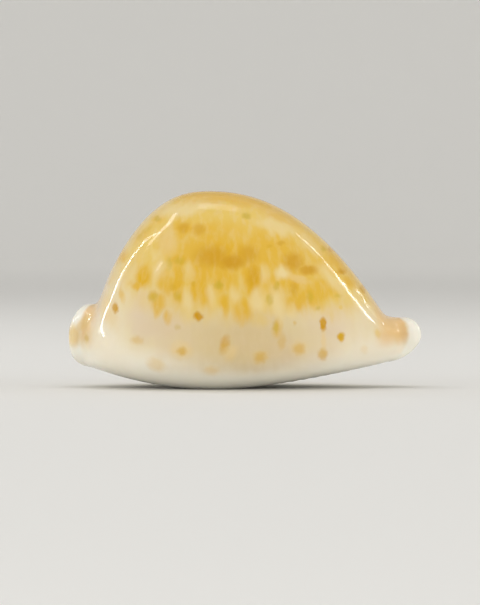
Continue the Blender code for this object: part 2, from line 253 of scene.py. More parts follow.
@dataclass(frozen=True)
class ShellForm:
    """The shell's outer skin, its hollow and the rounded edge that joins them, in millimetres."""

    length: float = 80.0
    height: float = 44.69
    half_width: float = 24.98
    hump: Arch = Arch(-8.4, Slope(29.84, 2.30, 1.35), Slope(49.1, 2.21, 1.015))
    plan: Arch = Arch(-5.5, Slope(32.0, 2.4, 2.0), Slope(44.5, 1.9, 1.4))
    crest_lean: float = 1.3
    side_height: float = 11.2
    side_rise_back: float = 0.8
    side_rise_front: float = 1.1
    dome_power: float = 0.95
    base_power: float = 0.76
    belly: Belly = Belly()
    back: Flange = BACK_FLANGE
    front: Flange = FRONT_FLANGE
    collar_blend: float = 1.2
    collar_shift: float = 0.5
    shift_start: float = 24.0
    ridge_tip: float = 39.95
    tip_height: float = 12.2
    rim_bulge: float = 1.7
    rim_inset: float = 1.2
    groove_width: float = 1.7
    groove_fade: Span = (-0.8, 0.0)
    groove_top_start: float = 0.5
    flange_least: float = 1.3
    aperture: Aperture = Aperture()
    hollow: Hollow = Hollow()

    def crest(self, x: np.ndarray) -> np.ndarray:
        """Top outline seen from the side, flanges included."""
        collar = np.where(x < self.hump.peak, self.back.collar(x), self.front.collar(x))
        return soft_max(self.height * self.hump.at(x), collar, self.collar_blend)

    def breadth(self, x: np.ndarray) -> np.ndarray:
        """Half of the outline seen from above, flanges included."""
        collar = np.where(x < self.plan.peak, self.back.collar_half_width, self.front.collar_half_width)
        return soft_max(self.half_width * self.plan.at(x), collar, self.collar_blend)

    def side(self, x: np.ndarray) -> np.ndarray:
        """Height of the widest point of a section."""
        rise = np.where(x < 0, self.side_rise_back, self.side_rise_front)
        return self.side_height + rise * (2 * x / self.length) ** 2

    def section(self, x: np.ndarray, angle: np.ndarray) -> tuple[np.ndarray, np.ndarray]:
        """A point of the outer skin.

        Args:
            x: Station along the shell.
            angle: Angle round the section, from -90 degrees at the outer lip to 270 at the inner.

        Returns:
            The point's place across the shell and its height.
        """
        turn = np.sin(angle)
        power = np.where(turn > 0, self.dome_power, self.base_power)
        lift = np.sign(turn) * np.abs(turn) ** power
        side = self.side(x)
        reach = np.where(lift > 0, self.crest(x) - side, side - self.belly.height(x))
        outer = np.cos(angle) > 0
        hand = np.where(outer, -1.0, 1.0)
        slit = self.aperture.middle(x)
        centre = self.collar_shift * slit * smooth_step(np.abs(x), self.shift_start, self.length / 2)
        lip_start = slit + hand * (self.aperture.half_gap(x) + self.aperture.roll(x, outer))
        middle = centre + (lip_start - centre) * smooth_step(-turn, 0.0, 1.0)
        y = middle + (centre + hand * self.breadth(x) - middle) * np.abs(np.cos(angle))
        lean = self.crest_lean * self.hump.at(x) * np.clip(turn, 0, 1) ** 2
        return y + lean, side + reach * lift

    def ridge(self, flange: Flange, angle: np.ndarray) -> np.ndarray:
        """Outermost line of a flange, set back at its top and its base.

        Args:
            flange: The flange at the back or the front.
            angle: Span round the section.

        Returns:
            The line's place along the shell at each angle.
        """
        tip = np.full_like(angle, flange.way * self.ridge_tip)
        z = self.section(tip, angle)[1]
        power = flange.setback_power
        rise = np.clip((z - self.tip_height) / (self.crest(tip) - self.tip_height), 0, 1)
        fall = np.clip((self.tip_height - z) / (self.tip_height - self.belly.height(tip)), 0, 1)
        back_off = (flange.setback_top * (1 - (1 - rise ** power) ** (1 / power))
                    + flange.setback_base * (1 - (1 - fall ** power) ** (1 / power)))
        return tip - flange.way * back_off

    def waist(self, x: np.ndarray, angle: np.ndarray) -> np.ndarray:
        """How far the skin is drawn in behind the flanges.

        Args:
            x: Station along the shell.
            angle: Angle round the section.

        Returns:
            The depth of the waist's groove.
        """
        lift = np.sin(angle)
        top = smooth_step(lift, self.groove_top_start, 1.0)
        depth = np.zeros_like(x)
        for flange in (self.back, self.front):
            away = (x - flange.crease(lift)) / self.groove_width
            depth += flange.groove_depth * (1.0 - flange.groove_top_fade * top) * np.exp(-away ** 2)
        return depth * smooth_step(lift, *self.groove_fade)

    def outer_skin(self, rows: "Rows", angle: np.ndarray) -> np.ndarray:
        """Grid of points of the outer skin.

        Args:
            rows: The stations' places between the two rims.
            angle: Span round a section.

        Returns:
            Points by row and column.
        """
        start = self.ridge(self.back, angle) + self.rim_bulge
        end = self.ridge(self.front, angle) - self.rim_bulge
        lift = np.sin(angle)
        lines = np.stack([start, np.maximum(self.back.crease(lift), start + self.flange_least),
                          np.minimum(self.front.crease(lift), end - self.flange_least), end])
        x = np.stack([np.interp(rows.place, rows.stops, line) for line in lines.T], axis=-1)
        angle = np.broadcast_to(angle, x.shape)
        y, z = self.section(x, angle)
        inward = self.waist(x, angle)
        y = y + inward * np.sign(np.cos(angle)) * np.abs(np.cos(angle))
        return np.stack([x, y, np.maximum(z - inward * np.sin(angle), 0.0)], axis=-1)

    def hollow_wall(self, rows: "Rows", angle: np.ndarray) -> np.ndarray:
        """Grid of points of the hollow's wall.

        Args:
            rows: The stations' places between the two rims.
            angle: Span round a section.

        Returns:
            Points by row and column.
        """
        inset = self.rim_bulge + self.rim_inset
        start = self.ridge(self.back, angle) + inset
        end = self.ridge(self.front, angle) - inset
        x = start + (end - start) * (rows.place / rows.stops[-1])[:, None]
        angle = np.broadcast_to(angle, x.shape)
        room = self.hollow.arch.at(x)
        slit, gap = self.aperture.middle(x), self.aperture.half_gap(x)
        floor = self.belly.height(x) + self.aperture.lip_depth(x)
        channel_top = floor + self.hollow.channel_height
        channel_side = floor + self.hollow.channel_height / 2
        roof = self.height * self.hump.at(x) - self.hollow.dorsum_wall
        top = channel_top + (roof - channel_top) * room
        side = channel_side + (self.hollow.side_height - channel_side) * room
        hand = np.where(np.cos(angle) > 0, -1.0, 1.0)
        reach = gap + (self.breadth(x) * self.hollow.reach - gap) * room
        lift = np.sin(angle)
        z = side + np.where(lift > 0, top - side, side - floor) * lift
        share = np.abs(np.cos(angle))
        middle = slit + (self.crest_lean - slit) * smooth_step(lift, 0.0, 1.0) * room
        y = middle + hand * np.where(lift < 0, gap + (reach - gap) * share, reach * share)
        return np.stack([x, y, z], axis=-1)


@dataclass(frozen=True)
class Rows:
    """Places of the stations, as shares of the solid's own rows between the rims."""

    count: int
    flange_count: int
    stops: tuple[float, ...] = (0.0, 3.0, 57.0, 60.0)

    @property
    def place(self) -> np.ndarray:
        """Each station's place, with the flanges more closely set."""
        turns = (0, self.flange_count, self.count - self.flange_count, self.count)
        return np.interp(np.arange(self.count + 1), turns, self.stops)


def ring_of(sides: list[np.ndarray]) -> np.ndarray:
    """Joins values along outer lip, front rim, inner lip and back rim into one ring."""
    outer_lip, front_rim, inner_lip, back_rim = sides
    return np.concatenate([outer_lip[:-1], front_rim[:-1], inner_lip[::-1][:-1], back_rim[::-1][:-1]])


def sides_of(ring: np.ndarray, rows: int, columns: int) -> list[np.ndarray]:
    """Splits a ring into outer lip, front rim, inner lip and back rim, each with both its corners.

    Args:
        ring: Values round a grid's edge.
        rows: Steps along a lip.
        columns: Steps along a rim.

    Returns:
        The four sides, running as a grid's rows and columns do.
    """
    closed = np.concatenate([ring, ring[:1]])
    cuts = np.cumsum([0, rows, columns, rows, columns])
    first, second, third, fourth = (closed[a:b + 1] for a, b in zip(cuts, cuts[1:]))
    return [first, second, third[::-1], fourth[::-1]]


def edge_of(grid: np.ndarray) -> np.ndarray:
    """The values round a grid's edge."""
    return ring_of([grid[:, 0], grid[-1], grid[:, -1], grid[0]])


@dataclass
class RoundedEdge:
    """The edge that turns from the outer skin into the hollow, over both lips and both rims."""

    form: ShellForm
    loops: int = 12
    coarse_rows: Rows = Rows(60, 3)
    coarse_columns: int = 32
    smoothing: int = 3
    lip_pull: float = 1.57
    rim_pull_outside: float = 4.1
    rim_pull_inside: float = 3.9

    def settle(self, ring: np.ndarray) -> np.ndarray:
        """Evens out values round a ring, so that its corners turn gently."""
        for _ in range(self.smoothing):
            ring = (np.roll(ring, 1, 0) + 2 * ring + np.roll(ring, -1, 0)) / 4
        return ring

    def coarse_pulls(self) -> list[list[np.ndarray]]:
        """How the edge leaves the skin and how it reaches the hollow, at the solid's own density.

        Returns:
            For leaving and for arriving, the pull along each of the four sides.
        """
        rows = self.coarse_rows
        angle = np.radians(np.linspace(-90.0, 270.0, self.coarse_columns + 1))
        outer, inner = self.form.outer_skin(rows, angle), self.form.hollow_wall(rows, angle)
        leave, arrive = [], []
        for column, hand in ((0, 1.0), (-1, -1.0)):
            roll, depth = np.abs(inner[:, column, 1:] - outer[:, column, 1:]).T
            leave.append(self.lip_pull * roll[:, None] * np.array([0.0, hand, 0.0]))
            arrive.append(self.lip_pull * depth[:, None] * np.array([0.0, 0.0, 1.0]))
        rim = self.form.rim_bulge + self.form.rim_inset / 2
        for way in (1.0, -1.0):
            along = np.ones((self.coarse_columns + 1, 1)) * np.array([way * rim, 0.0, 0.0])
            leave.append(along * self.rim_pull_outside)
            arrive.append(along * -self.rim_pull_inside)
        corners = np.cumsum([0, rows.count, self.coarse_columns, rows.count])
        pulls = []
        for kind in (leave, arrive):
            sides = [kind[i] for i in (0, 2, 1, 3)]
            ring = ring_of(sides)
            for corner, other in zip(corners, (sides[3][0], sides[0][-1], sides[1][-1], sides[2][0])):
                ring[corner] = ring[corner] + other
            pulls.append(sides_of(self.settle(ring), rows.count, self.coarse_columns))
        return pulls

    def points(self, outer: np.ndarray, inner: np.ndarray, rows: Rows,
               angle: np.ndarray) -> list[np.ndarray]:
        """Loops of points between the two grids' edges.

        Args:
            outer: Grid of the outer skin.
            inner: Grid of the hollow's wall.
            rows: Places of the stations.
            angle: Span of the columns.

        Returns:
            One ring of points for each loop.
        """
        column = (np.degrees(angle) + 90.0) / 360.0 * self.coarse_columns
        fine = []
        for sides in self.coarse_pulls():
            spread = []
            for side, place in zip(sides, (rows.place, column, rows.place, column)):
                own = np.arange(len(side))
                spread.append(np.stack([np.interp(place, own, values) for values in side.T], axis=-1))
            fine.append(ring_of(spread))
        leave, arrive = fine
        start, finish = edge_of(outer), edge_of(inner)
        loops = []
        for k in range(1, self.loops + 1):
            t = k / (self.loops + 1)
            ring = ((2 * t ** 3 - 3 * t ** 2 + 1) * start + (t ** 3 - 2 * t ** 2 + t) * leave
                    + (3 * t ** 2 - 2 * t ** 3) * finish + (t ** 3 - t ** 2) * arrive)
            ring[:, 2] = np.maximum(ring[:, 2], 0.0)
            loops.append(ring)
        return loops


class Field(Enum):
    """Values stored at the shell's points for its carving and its finish."""

    RIM = "rim_distance"
    BACK_WAIST = "back_waist_distance"
    FRONT_WAIST = "front_waist_distance"
    LIFT = "section_lift"
    INSIDE = "inside_share"
    DOWN = "distance_from_ridge"
    TOOTH_RUN = "tooth_run"
    TOOTH_WEIGHT = "tooth_weight"


@dataclass(frozen=True)
class LipTeeth:
    """Teeth of the two lips: ridges that stand between shallow grooves, in millimetres."""

    first_x: float = -32.5
    last_x: float = 33.5
    fade: float = 2.5
    pitch: float = 2.45
    groove: float = 0.62
    roundness: float = 1.25
    unevenness: float = 0.32
    wander_rate: float = 0.6
    outer_length: float = 4.2
    front_flattening: float = 0.75
    flat_from: Span = (-6.0, 8.0)
    inner_length: float = 3.0
    end_length: float = 1.5
    long_from: Span = (-32.0, -16.0)
    long_to: Span = (12.0, 30.0)
    inner_share: float = 0.8
    inside_length: float = 2.4
    seed: int = 7

    def weight(self, x: np.ndarray, away: np.ndarray, length: float) -> np.ndarray:
        """How fully the grooves are cut.

        Args:
            x: Places along a lip.
            away: Distances from the lip's edge.
            length: Length of the teeth at the middle of the lip.

        Returns:
            A weight from 0 to 1.
        """
        toothed = plateau(x, (self.first_x, self.first_x + self.fade), (self.last_x - self.fade, self.last_x))
        middle = plateau(x, self.long_from, self.long_to)
        reach = self.end_length + (length - self.end_length) * middle
        return toothed * (1.0 - smooth_step(away / reach, 0.0, 1.0))

    def outer_share(self, x: np.ndarray) -> np.ndarray:
        """Depth of the outer lip's grooves: they flatten towards the front, where the lip is seen."""
        return 1.0 - self.front_flattening * smooth_step(x, *self.flat_from)

    def tree(self) -> bpy.types.NodeTree:
        """The node tree that presses the grooves into the lips.

        Returns:
            A tree whose inputs are the sizes of the teeth and the finish.
        """
        tree = bpy.data.node_groups.new("lip teeth", "GeometryNodeTree")
        sizes = ("Pitch", "Groove Depth", "Roundness", "Unevenness", "Seed")
        kinds = {"Geometry": "Geometry", **dict.fromkeys(sizes, "Float"), "Finish": "Material"}
        for name, kind in kinds.items():
            tree.interface.new_socket(name=name, in_out="INPUT", socket_type="NodeSocket" + kind)
        tree.interface.new_socket(name="Geometry", in_out="OUTPUT", socket_type="NodeSocketGeometry")
        make = NodeMaker(tree)
        given = make.node("NodeGroupInput")

        def size(name: str) -> Signal:
            """One of the tree's named inputs."""
            return Signal(make, given.outputs[name])

        run = make.named(Field.TOOTH_RUN)
        weight = make.named(Field.TOOTH_WEIGHT)
        noise = make.signal("ShaderNodeTexNoise", {"noise_dimensions": "2D"}, {
            "Vector": make.vector(run / size("Pitch"), size("Seed"), 0.0), "Scale": self.wander_rate})
        wander = (noise - 0.5) * size("Unevenness") * 2.0
        turn = (run / size("Pitch") + wander) * (2.0 * math.pi)
        groove = (0.5 + 0.5 * turn.function("COSINE")) ** size("Roundness")
        depth = groove * weight * size("Groove Depth")
        inward = make.scaled(make.signal("GeometryNodeInputNormal"), depth * -1.0)
        moved = make.signal("GeometryNodeSetPosition", {}, {"Geometry": size("Geometry"), "Offset": inward})
        real = make.signal("GeometryNodeRealizeInstances", {}, {0: moved})
        dressed = make.signal("GeometryNodeSetMaterial", {}, {"Geometry": real, "Material": size("Finish")})
        make.node("NodeGroupOutput", {}, {0: dressed})
        return tree

    def carve(self, shell: bpy.types.Object, finish: bpy.types.Material) -> None:
        """Presses the grooves into the shell's mesh and gives the mesh its finish.

        Args:
            shell: The shell with its stored values.
            finish: The material that the tree sets.
        """
        modifier = shell.modifiers.new("lip teeth", "NODES")
        tree = self.tree()
        modifier.node_group = tree
        values = {"Pitch": self.pitch, "Groove Depth": self.groove * MM, "Roundness": self.roundness,
                  "Unevenness": self.unevenness, "Seed": float(self.seed), "Finish": finish}
        for item in tree.interface.items_tree:
            if item.in_out == "INPUT" and item.name in values:
                modifier[item.identifier] = values[item.name]
        graph = bpy.context.evaluated_depsgraph_get()
        carved = bpy.data.meshes.new_from_object(shell.evaluated_get(graph), depsgraph=graph)
        shell.modifiers.remove(modifier)
        plain = shell.data
        shell.data = carved
        bpy.data.meshes.remove(plain)
        carved.name = shell.name


@dataclass
class ShellBody:
    """The shell itself: mesh, lip teeth and finish."""

    form: ShellForm = field(default_factory=ShellForm)
    teeth: LipTeeth = field(default_factory=LipTeeth)
    rows: Rows = Rows(320, 20)
    columns: int = 112
    lip_crowding: float = 0.6

    def angles(self) -> np.ndarray:
        """Angles round a section, more closely set at the lips."""
        share = np.linspace(0.0, 1.0, self.columns + 1)
        share = share - self.lip_crowding * np.sin(2.0 * np.pi * share) / (2.0 * np.pi)
        return np.radians(-90.0 + 360.0 * share)

    def from_ridge(self, outer: np.ndarray) -> np.ndarray:
        """Distance over the skin from its ridge, negative on the near side."""
        along = distance_along(outer)
        return along - along[:, self.columns // 2, None]

    def stored(self, outer: np.ndarray, inner: np.ndarray, angle: np.ndarray,
               loops: int) -> dict[Field, np.ndarray]:
        """Values for the carving and the finish, over skin, hollow and edge in turn.

        Args:
            outer: Grid of the outer skin.
            inner: Grid of the hollow's wall.
            angle: Span of the columns.
            loops: Number of rings of the rounded edge.

        Returns:
            One array of values for each stored field.
        """
        form, x = self.form, outer[:, :, 0]
        lift = np.broadcast_to(np.sin(angle), x.shape)
        back_rim, front_rim = form.ridge(form.back, angle), form.ridge(form.front, angle)
        grids = {
            Field.RIM: np.minimum(x - back_rim, front_rim - x),
            Field.BACK_WAIST: x - form.back.crease(lift),
            Field.FRONT_WAIST: form.front.crease(lift) - x,
            Field.LIFT: lift,
            Field.DOWN: self.from_ridge(outer),
            Field.TOOTH_RUN: x,
        }
        values = {}
        for key, grid in grids.items():
            ring = edge_of(grid)
            values[key] = np.concatenate([grid.ravel(), grid.ravel(), *[ring] * loops])
        share = np.arange(1, loops + 1) / (loops + 1)
        ring_length = len(edge_of(x))
        values[Field.INSIDE] = np.concatenate(
            [np.zeros(x.size), np.ones(x.size), np.repeat(share, ring_length)])
        values[Field.TOOTH_WEIGHT] = self.tooth_weight(outer, inner, loops)
        return values

    def tooth_weight(self, outer: np.ndarray, inner: np.ndarray, loops: int) -> np.ndarray:
        """How fully the grooves are cut at every point.

        Args:
            outer: Grid of the outer skin.
            inner: Grid of the hollow's wall.
            loops: Number of rings of the rounded edge.

        Returns:
            The weight over skin, hollow and edge in turn.
        """
        teeth = self.teeth
        parts = []
        for grid, lengths in ((outer, (teeth.outer_length, teeth.inner_length)),
                              (inner, (teeth.inside_length, teeth.inside_length))):
            from_outer = distance_along(grid)
            from_inner = distance_along(grid[:, ::-1])[:, ::-1]
            x = grid[:, :, 0]
            parts.append(np.maximum(teeth.weight(x, from_outer, lengths[0]) * teeth.outer_share(x),
                                    teeth.inner_share * teeth.weight(x, from_inner, lengths[1])))
        x = outer[:, 0, 0]
        none = np.zeros(outer.shape[1])
        lip = teeth.weight(x, np.zeros_like(x), 1.0)
        ring = ring_of([lip * teeth.outer_share(x), none, lip * teeth.inner_share, none])
        return np.concatenate([parts[0].ravel(), parts[1].ravel(), *[ring] * loops])

    def faces(self, loops: int) -> list[tuple[int, ...]]:
        """Quads of the skin, the hollow and the edge between them.

        Args:
            loops: Number of rings of the rounded edge.

        Returns:
            Point numbers of each quad, facing outwards.
        """
        rows, columns = self.rows.count + 1, self.columns + 1
        number = np.arange(rows * columns).reshape(rows, columns)
        quads = np.stack([number[:-1, :-1], number[:-1, 1:], number[1:, 1:], number[1:, :-1]], axis=-1)
        wall = quads.reshape(-1, 4) + rows * columns
        skin = quads.reshape(-1, 4)[:, ::-1]
        ring = len(edge_of(number))
        bands = [edge_of(number)]
        bands += [2 * rows * columns + k * ring + np.arange(ring) for k in range(loops)]
        bands.append(edge_of(number) + rows * columns)
        edge = [np.stack([near, far, np.roll(far, -1), np.roll(near, -1)], axis=-1)
                for near, far in zip(bands, bands[1:])]
        return [tuple(quad) for quad in np.concatenate([skin, wall, *edge]).tolist()]

    def fitted(self, points: np.ndarray) -> np.ndarray:
        """Points in metres, fitted to the box of the solid that they dress."""
        low, high = (np.array(corner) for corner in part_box("cowrie_shell"))
        points = points * MM
        own_low, own_high = points.min(axis=0), points.max(axis=0)
        return low + (points - own_low) * (high - low) / (own_high - own_low)

    def build(self, finish: bpy.types.Material) -> bpy.types.Object:
        """Args:
            finish: The porcelain.

        Returns:
            The shell's object.
        """
        angle = self.angles()
        outer, inner = self.form.outer_skin(self.rows, angle), self.form.hollow_wall(self.rows, angle)
        edge = RoundedEdge(self.form)
        loops = edge.points(outer, inner, self.rows, angle)
        points = np.concatenate([outer.reshape(-1, 3), inner.reshape(-1, 3), *loops])
        mesh = bpy.data.meshes.new("shell_body")
        mesh.from_pydata(self.fitted(points).tolist(), [], self.faces(len(loops)))
        mesh.validate()
        for key, values in self.stored(outer, inner, angle, len(loops)).items():
            attribute = mesh.attributes.new(key.value, "FLOAT", "POINT")
            attribute.data.foreach_set("value", values.astype(np.float32))
        mesh.shade_smooth()
        shell = placed(mesh.name, mesh)
        self.teeth.carve(shell, finish)
        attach(shell, "root")
        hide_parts("cowrie_shell")
        LOG.info("%s: %d faces", shell.name, len(shell.data.polygons))
        return shell


class Signal:
    """A node's output that takes part in shader maths written as Python expressions."""

    def __init__(self, make: "NodeMaker", socket: bpy.types.NodeSocket) -> None:
        """Wraps one output socket of the tree that make builds."""
        self.make = make
        self.socket = socket

    def function(self, operation: str, *others: object) -> "Signal":
        """This value, and others if the operation takes them, through one Math node."""
        return self.make.math(operation, self, *others)

    def __add__(self, other: object) -> "Signal":
        """self + other."""
        return self.function("ADD", other)

    __radd__ = __add__

    def __sub__(self, other: object) -> "Signal":
        """self - other."""
        return self.function("SUBTRACT", other)

    def __rsub__(self, other: object) -> "Signal":
        """other - self."""
        return self.make.math("SUBTRACT", other, self)

    def __mul__(self, other: object) -> "Signal":
        """self * other."""
        return self.function("MULTIPLY", other)

    __rmul__ = __mul__

    def __truediv__(self, other: object) -> "Signal":
        """self / other."""
        return self.function("DIVIDE", other)

    def __pow__(self, other: object) -> "Signal":
        """self to the power of other."""
        return self.function("POWER", other)

    def __abs__(self) -> "Signal":
        """self without its sign."""
        return self.function("ABSOLUTE")

    def step(self, low: float, high: float, full: float = 1.0) -> "Signal":
        """0 at low, full at high, and an S-curve between them; low may be the larger."""
        return self.make.signal("ShaderNodeMapRange", {"interpolation_type": "SMOOTHSTEP"},
                                {"Value": self, "From Min": low, "From Max": high, "To Max": full})


class NodeMaker:
    """Adds nodes to one tree."""

    def __init__(self, tree: bpy.types.NodeTree) -> None:
        """Takes the tree that the nodes go into."""
        self.tree = tree

    def node(self, kind: str, settings: dict[str, object] | None = None,
             inputs: dict[object, object] | None = None) -> bpy.types.Node:
        """Adds one node.

        Args:
            kind: The node's type.
            settings: Its own settings, set before its sockets.
            inputs: Values or links of its sockets, by name or number.

        Returns:
            The node.
        """
        node = self.tree.nodes.new(kind)
        for name, value in (settings or {}).items():
            setattr(node, name, value)
        for key, value in (inputs or {}).items():
            if isinstance(value, Signal):
                self.tree.links.new(value.socket, node.inputs[key])
            else:
                node.inputs[key].default_value = value
        return node

    def signal(self, kind: str, settings: dict[str, object] | None = None,
               inputs: dict[object, object] | None = None, output: object = 0) -> Signal:
        """Adds one node, and gives its output of that name or number."""
        return Signal(self, self.node(kind, settings, inputs).outputs[output])

    def math(self, operation: str, *values: object) -> Signal:
        """One Math node."""
        return self.signal("ShaderNodeMath", {"operation": operation}, dict(enumerate(values)))

    def vector_math(self, operation: str, *values: object) -> Signal:
        """One Vector Math node."""
        return self.signal("ShaderNodeVectorMath", {"operation": operation}, dict(enumerate(values)))

    def scaled(self, vector: Signal, amount: object) -> Signal:
        """A vector times one value."""
        return self.signal("ShaderNodeVectorMath", {"operation": "SCALE"}, {0: vector, "Scale": amount})

    def vector(self, x: object, y: object, z: object) -> Signal:
        """Three values as one vector."""
        return self.signal("ShaderNodeCombineXYZ", {}, {0: x, 1: y, 2: z})

    def named(self, key: Field) -> Signal:
        """A value stored at the shell's points, in a geometry tree."""
        return self.signal("GeometryNodeInputNamedAttribute", {"data_type": "FLOAT"},
                           {"Name": key.value}, "Attribute")

    def stored(self, key: Field) -> Signal:
        """A value stored at the shell's points, in a material."""
        return self.signal("ShaderNodeAttribute", {"attribute_name": key.value}, {}, "Fac")

    def moved(self, place: Signal, shift: Signal, amount: object) -> Signal:
        """A place shifted by a vector times an amount."""
        return self.vector_math("ADD", place, self.scaled(shift, amount))

    def noise(self, place: Signal, size: float, detail: float = 2.0) -> tuple[Signal, Signal]:
        """Smooth noise with lumps of a given size.

        Args:
            place: Where to read it.
            size: Rough size of a lump, in the place's own unit.
            detail: How many finer layers it has.

        Returns:
            The noise as a value from 0 to 1, and as a vector about zero.
        """
        node = self.node("ShaderNodeTexNoise", {}, {"Vector": place, "Scale": 1.0 / size, "Detail": detail})
        value, colour = (Signal(self, node.outputs[name]) for name in ("Fac", "Color"))
        return value, self.vector_math("SUBTRACT", colour, (0.5, 0.5, 0.5))

    def mix(self, factor: object, under: object, over: object) -> Signal:
        """One colour laid over another by a factor."""
        under, over = (c if isinstance(c, Signal) else (*c, 1.0) for c in (under, over))
        return self.signal("ShaderNodeMix", {"data_type": "RGBA"}, {0: factor, 6: under, 7: over}, 2)


def new_finish(name: str) -> tuple[bpy.types.Material, NodeMaker, bpy.types.NodeInputs]:
    """A new material, the maker of its nodes, and its shader's sockets."""
    material = bpy.data.materials.new(name)
    material.use_nodes = True
    tree = material.node_tree
    return material, NodeMaker(tree), tree.nodes["Principled BSDF"].inputs


def srgb(red: int, green: int, blue: int) -> Colour:
    """A colour as the eye reads it off a screen, turned into the light that it stands for."""
    return tuple(((c / 255 + 0.055) / 1.055) ** 2.4 if c > 10 else c / 255 / 12.92
                 for c in (red, green, blue))


class Tint(Enum):
    """The colours of the marks under the enamel, with the beige of the painted shade and the ivory of the
    painted glare.
    """

    # Beige of the painted shade low in the middle of the near side.
    BEIGE_SHADING = srgb(212, 187, 132)
    # Ivory of the painted glare low near both ends.
    IVORY_GLARE = srgb(246, 236, 214)
    VEIL = srgb(233, 199, 98)
    OCHRE = srgb(228, 178, 28)
    DEEP = srgb(209, 154, 2)
    ORANGE = srgb(218, 170, 30)
    OLIVE = srgb(202, 170, 34)
    PEACH = srgb(236, 206, 142)
    PALE = srgb(238, 216, 158)


@dataclass(frozen=True)
class Mark:
    """A soft-edged mark seen on the side of the shell, in millimetres along and up.

    A mark near the ridge also has a middle and a half width in distance over the skin from the
    ridge, negative on the near side, so that it doesn't run across to the other side.
    """

    x: float
    z: float
    half_length: float
    half_height: float
    strength: float = 1.0
    tilt: float = 0.0
    softness: float = 0.65
    from_ridge: float = 0.0
    half_across: float = 5000.0


class Edge(Enum):
    """How the edges of a layer's marks run."""

    CLOUDY = "drawn out downwards, like drips"
    CRUMBLY = "finely uneven"
    CLEAN = "even"


@dataclass(frozen=True)
class TintLayer:
    """All marks of one tint, their edges, and how much the grain breaks them up; two such layers are painted
    shade and painted glare.
    """

    tint: Tint
    edge: Edge
    broken: float
    rows: tuple[tuple[float, ...], ...]

    @property
    def marks(self) -> list[Mark]:
        """The rows as marks; a short row leaves the rest of a mark's values as they are."""
        return [Mark(*row) for row in self.rows]


# Each row gives a mark's values in the order in which Mark names them.
# Painted shade: soft beige patches that darken the low middle of the near side, where less light falls.
PAINTED_SHADE = TintLayer(Tint.BEIGE_SHADING, Edge.CLOUDY, 0.1, (
    (-1, 11, 15, 8, 0.75, 0, 0.8), (-14, 15, 8, 5, 0.35, 0, 0.8),
))
# Painted glare: soft whitish patches low near both ends of the near side, standing in for light on the
# surface.
PAINTED_GLARE = TintLayer(Tint.IVORY_GLARE, Edge.CLOUDY, 0.1, (
    (-30, 9.5, 3.6, 8, 0.75, 14, 0.8), (29, 8.6, 7, 3.4, 0.6, -10, 0.8), (-22, 6, 6, 3, 0.25, 0, 0.8),
))
VEIL = TintLayer(Tint.VEIL, Edge.CLOUDY, 0.2, (
    (-8, 33, 19, 14, 1, 0, 0.3), (12, 29, 17, 9, 1, -30, 0.3), (-22, 30, 6.5, 9, 0.9, 25),
    (-2, 22, 21, 5, 0.9), (-26.5, 27, 3, 8, 0.6, 28), (25, 24, 8, 3.6, 0.8, -45),
    (3.3, 16.2, 2.2, 2.2, 0.5), (-11, 19.5, 6, 3.5, 0.7), (19.4, 17.2, 1.6, 1.4, 0.5),
    (29.9, 13.2, 0.9, 1, 0.6), (21.9, 18.1, 0.6, 0.9, 0.9), (-18, 20.5, 4, 3.2, 0.6), (3, 44, 20, 2.2, 0.9),
))
CLOUD = TintLayer(Tint.OCHRE, Edge.CLOUDY, 0.35, (
    (-7.5, 31.6, 9, 5.4, 0.75), (6.5, 30.8, 9.5, 4.2, 0.75, -12), (14.6, 28.6, 5, 4.2, 0.5, -35),
    (-4.4, 30.4, 7, 4.2, 0.95), (-13.6, 36, 2.6, 2.2, 0.85), (-9, 35, 4, 2.6, 0.7),
    (-14.4, 29.2, 2.6, 2, 0.8), (-17.8, 33, 1.6, 3, 0.5), (-10, 26.4, 3.2, 4, 0.8),
    (-22.8, 25.8, 1.7, 2.2, 1), (-24.1, 24.2, 1.6, 0.9, 0.8), (1.6, 25, 2.4, 4.4, 1),
    (9.4, 24.2, 6.4, 3, 0.66), (16.6, 22.4, 5, 2.4, 0.72), (12.4, 20.4, 4.6, 2.4, 0.75),
    (-4.8, 25.2, 3.4, 3.4, 0.8), (-0.3, 18, 2.2, 2.6, 0.85), (-10.3, 23.4, 1.6, 4.2, 0.9),
    (-8.8, 20.8, 1.6, 2.6, 0.85), (-14.9, 24.2, 1.4, 4.4, 0.85), (-19.4, 19.8, 1.6, 2.4, 0.75),
    (-17.4, 24.2, 1.6, 2.6, 0.65), (-4.7, 19.2, 1.1, 2.2, 0.85), (-20.4, 21.2, 1, 1.6, 0.7),
    (-16.9, 16.2, 1, 1.5, 0.7), (-27.2, 29.6, 1.3, 1.6, 0.9, 0, 0.65, -6, 8),
    (-22.6, 35, 3, 1.5, 0.7, 35, 0.65, -4, 10), (-20, 38, 1.4, 1.2, 0.6),
    (-29.5, 24, 0.9, 2.4, 0.5, 0, 0.65, -5, 8), (20.4, 28.6, 3.6, 1.8, 0.8, -45, 0.65, -5, 13),
    (23.4, 24.4, 1.8, 1.4, 0.8, -45, 0.65, -8, 9), (-5, 43.6, 12, 1.2, 0.8), (14, 39.4, 12, 1.2, 0.7, -30),
    (3, 44.6, 17, 1, 1), (6.9, 13.6, 0.8, 2.2, 0.55, -12), (-27.6, 21.3, 0.5, 1.5, 0.5),
))
